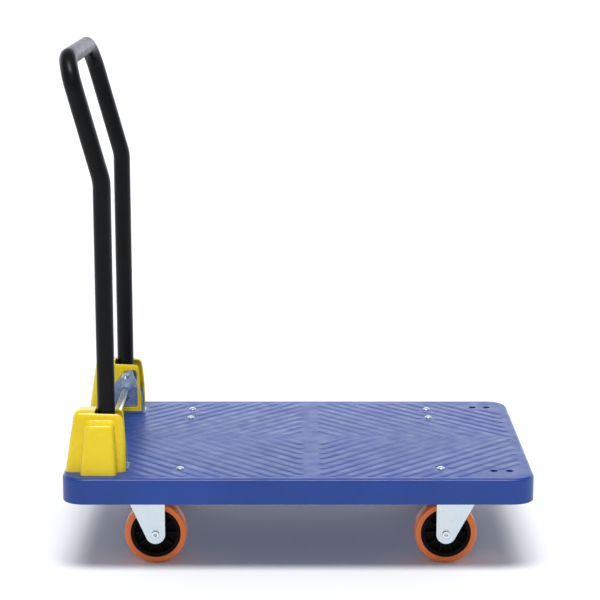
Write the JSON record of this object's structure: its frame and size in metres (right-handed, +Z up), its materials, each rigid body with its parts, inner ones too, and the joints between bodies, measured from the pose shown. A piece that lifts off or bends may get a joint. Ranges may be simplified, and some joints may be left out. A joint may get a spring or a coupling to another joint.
{
  "type": "folding platform cart",
  "caption": "Flat blue plastic platform cart with a black tube handle that folds down over the deck, yellow hinge covers, a foot release bar and orange-tyred casters.",
  "frame": {"origin": "on the floor, under the middle of the deck", "axes": "+X towards the free end with the rigid casters, the handle at -X; +Z up; +Y to the pusher's left"},
  "size_m": [0.74, 0.48, 0.82],
  "materials": {
    "deck_plastic": "moulded blue plastic, fine satin grain",
    "cover_plastic": "moulded yellow plastic, semi-gloss",
    "zinc_plate": "bright zinc-plated pressed steel",
    "zinc_fork": "bright zinc-plated pressed steel",
    "zinc_bar": "bright zinc-plated round bar",
    "zinc_fastener": "bright zinc plating",
    "spring_steel": "drawn spring wire",
    "ball_steel": "polished and greased",
    "handle_paint": "satin black powder coat",
    "black_plastic": "moulded",
    "hub_plastic": "moulded",
    "tyre_orange": "cast polyurethane, satin"
  },
  "bodies": {
    "deck": {"deck": "deck_plastic", "cover_right": "cover_plastic", "cover_left": "cover_plastic", "bracket_right": "zinc_plate", "bracket_left": "zinc_plate", "pivot_bolts": "zinc_fastener", "pivot_washers": "zinc_fastener", "pivot_nuts": "zinc_fastener", "stop_pins": "zinc_fastener", "bracket_bolts": "zinc_fastener", "bracket_washers": "zinc_fastener", "bracket_nuts": "zinc_fastener", "release_spring_right": "spring_steel", "release_spring_left": "spring_steel", "cover_screws": "zinc_fastener", "swivel_plate_right": "zinc_plate", "swivel_plate_left": "zinc_plate", "king_pins": "zinc_fastener", "thrust_washers": "zinc_fastener", "swivel_balls": "ball_steel", "caster_bolts": "zinc_fastener", "caster_washers": "zinc_fastener", "caster_nuts": "zinc_fastener", "caster_screws": "zinc_fastener", "rigid_fork_right": "zinc_fork", "rigid_fork_left": "zinc_fork", "front_axles": "zinc_fastener", "front_axle_tubes": "zinc_fastener"},
    "handle": {"handle_tube": "handle_paint", "handle_plugs": "black_plastic", "pivot_bushes": "zinc_fastener"},
    "release_bar": {"release_bar": "zinc_bar", "bar_clips": "spring_steel"},
    "swivel_right": {"swivel_fork_right": "zinc_fork", "rear_axle_right": "zinc_fastener", "rear_axle_tube_right": "zinc_fastener"},
    "swivel_left": {"swivel_fork_left": "zinc_fork", "rear_axle_left": "zinc_fastener", "rear_axle_tube_left": "zinc_fastener"},
    "wheel_rear_right": {"hub_rear_right": "hub_plastic", "tyre_rear_right": "tyre_orange"},
    "wheel_rear_left": {"hub_rear_left": "hub_plastic", "tyre_rear_left": "tyre_orange"},
    "wheel_front_right": {"hub_front_right": "hub_plastic", "tyre_front_right": "tyre_orange"},
    "wheel_front_left": {"hub_front_left": "hub_plastic", "tyre_front_left": "tyre_orange"}
  },
  "joints": [
    {"name": "handle_fold", "type": "hinge", "parent": "deck", "child": "handle", "pos_m": [-0.303, 0, 0.231], "axis": [0, 1, 0], "range_deg": [0, 90]},
    {"name": "bar_press", "type": "slide", "parent": "deck", "child": "release_bar", "axis": [0, 0, -1], "range_m": [0, 0.012], "stiffness_N_per_m": 2400, "springref_m": -0.006, "deforming": ["release_spring_right", "release_spring_left"]},
    {"name": "swivel_right_turn", "type": "hinge", "parent": "deck", "child": "swivel_right", "pos_m": [-0.2465, -0.153, 0.116], "axis": [0, 0, 1], "continuous": true},
    {"name": "swivel_left_turn", "type": "hinge", "parent": "deck", "child": "swivel_left", "pos_m": [-0.2465, 0.153, 0.116], "axis": [0, 0, 1], "continuous": true},
    {"name": "rear_right_wheel_roll", "type": "hinge", "parent": "swivel_right", "child": "wheel_rear_right", "pos_m": [-0.2285, -0.153, 0.05], "axis": [0, 1, 0], "continuous": true},
    {"name": "rear_left_wheel_roll", "type": "hinge", "parent": "swivel_left", "child": "wheel_rear_left", "pos_m": [-0.2285, 0.153, 0.05], "axis": [0, 1, 0], "continuous": true},
    {"name": "front_right_wheel_roll", "type": "hinge", "parent": "deck", "child": "wheel_front_right", "pos_m": [0.2365, -0.153, 0.05], "axis": [0, 1, 0], "continuous": true},
    {"name": "front_left_wheel_roll", "type": "hinge", "parent": "deck", "child": "wheel_front_left", "pos_m": [0.2365, 0.153, 0.05], "axis": [0, 1, 0], "continuous": true}
  ]
}
